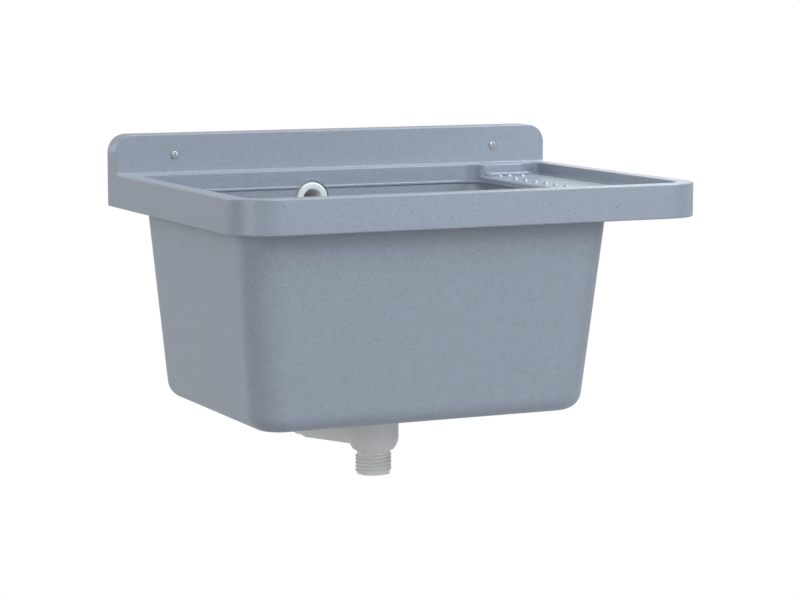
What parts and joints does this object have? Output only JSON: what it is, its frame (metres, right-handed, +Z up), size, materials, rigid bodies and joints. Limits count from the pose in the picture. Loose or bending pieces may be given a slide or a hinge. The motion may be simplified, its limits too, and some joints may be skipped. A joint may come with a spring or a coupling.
{
  "type": "wall-mounted sink",
  "caption": "Deep wall-hung utility sink with a low backsplash, a drainboard at the right, an overflow in the back wall and a strainer waste with a threaded outlet below.",
  "frame": {"origin": "on the wall plane, midway between the two wall fixings", "axes": "+Z up, +X to the right seen from the front, along the sink's width, +Y into the wall"},
  "size_m": [0.6, 0.495, 0.4097],
  "materials": {
    "speckled_resin": "satin, finely speckled",
    "white_plastic": "glossy",
    "grey_plastic": "matt moulded",
    "black_rubber": "matt",
    "stainless_steel": "polished",
    "zinc_steel": "bright zinc",
    "brass": "turned",
    "sealant": "cured, satin"
  },
  "bodies": {
    "sink": {"top_tray": "speckled_resin", "tub": "speckled_resin", "mouth_sealant": "sealant", "wall_screws": "zinc_steel", "overflow_ring": "white_plastic", "overflow_gasket": "black_rubber", "overflow_elbow": "grey_plastic", "overflow_pipe": "grey_plastic", "strainer_flange": "stainless_steel", "flange_gasket": "black_rubber", "body_gasket": "black_rubber", "waste_body": "grey_plastic", "insert_nut": "brass", "strainer_screw": "stainless_steel", "lower_pipe_nut": "grey_plastic", "lower_pipe_seal": "black_rubber", "upper_pipe_nut": "grey_plastic", "upper_pipe_seal": "black_rubber"},
    "plug": {"drain_plug": "black_rubber"}
  },
  "joints": [
    {"name": "plug_lift", "type": "slide", "parent": "sink", "child": "plug", "axis": [0, 0, 1], "range_m": [0, 0.3]}
  ]
}
